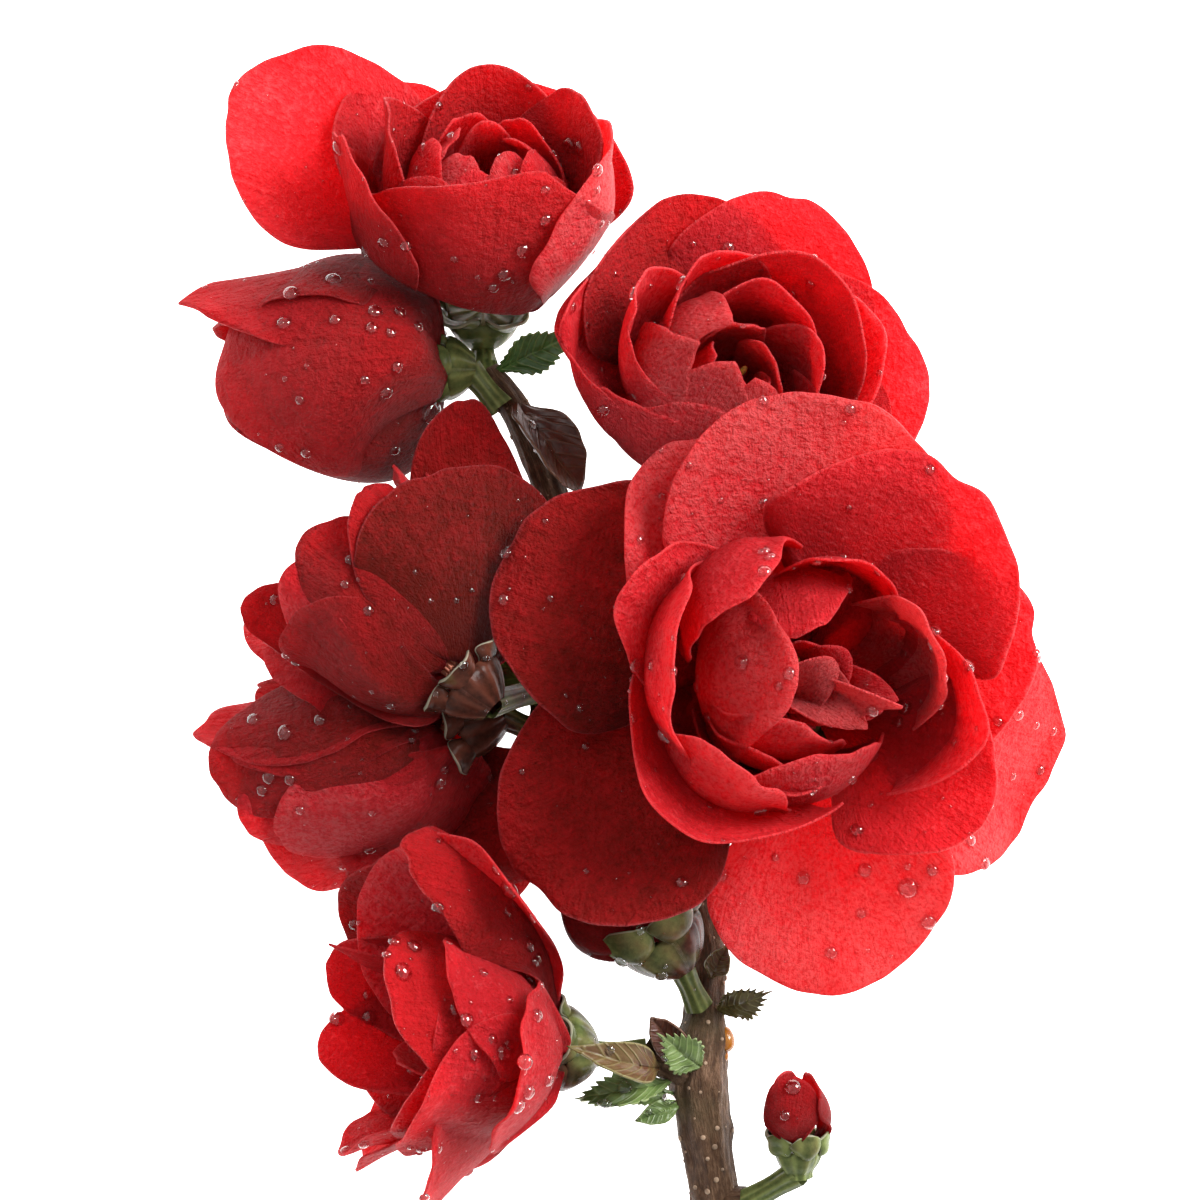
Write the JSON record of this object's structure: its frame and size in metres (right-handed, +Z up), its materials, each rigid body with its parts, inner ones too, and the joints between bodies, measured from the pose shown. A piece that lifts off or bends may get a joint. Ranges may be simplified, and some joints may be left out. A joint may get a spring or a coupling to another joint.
{
  "type": "flowering quince branch",
  "caption": "Cut flowering quince branch lying on its back: a short woody twig crowded with double red blooms, a round bud, green calyx cups and small leaves.",
  "frame": {"origin": "centre of the branch's footprint, on the surface that it lies on", "axes": "+Y from the cut end of the twig to the top bloom, +Z up, out of the front bloom's face"},
  "size_m": [0.0809, 0.1367, 0.0338],
  "materials": {
    "petal": "velvety, thin and translucent, with a satin sheen",
    "bark": "ridged bark, matt",
    "calyx": "fleshy, satin",
    "leaf": "fresh leaf, satin",
    "young_leaf": "young leaf or dry scale, satin",
    "stamen": "matt"
  },
  "bodies": {
    "root": {"twig": "bark", "front_petals": "petal", "front_calyx": "calyx", "front_stamens": "stamen", "right_petals": "petal", "right_calyx": "calyx", "right_stamens": "stamen", "top_petals": "petal", "top_calyx": "calyx", "top_stamens": "stamen", "left_petals": "petal", "left_calyx": "calyx", "left_stamens": "stamen", "low_left_petals": "petal", "low_left_calyx": "calyx", "low_left_stamens": "stamen", "low_petals": "petal", "low_calyx": "calyx", "low_stamens": "stamen", "round_bud_petals": "petal", "round_bud_calyx": "calyx", "half_open_petals": "petal", "half_open_calyx": "calyx", "small_bud_petals": "petal", "small_bud_calyx": "calyx", "top_leaf": "leaf", "young_leaf": "young_leaf", "dark_leaf": "leaf", "bud_scale": "young_leaf", "toothed_leaf": "leaf", "lower_leaf": "leaf", "lowest_leaf": "leaf", "torn_stipule": "leaf", "olive_leaf": "young_leaf", "red_leaf": "young_leaf", "curved_stipule": "leaf"}
  },
  "joints": []
}
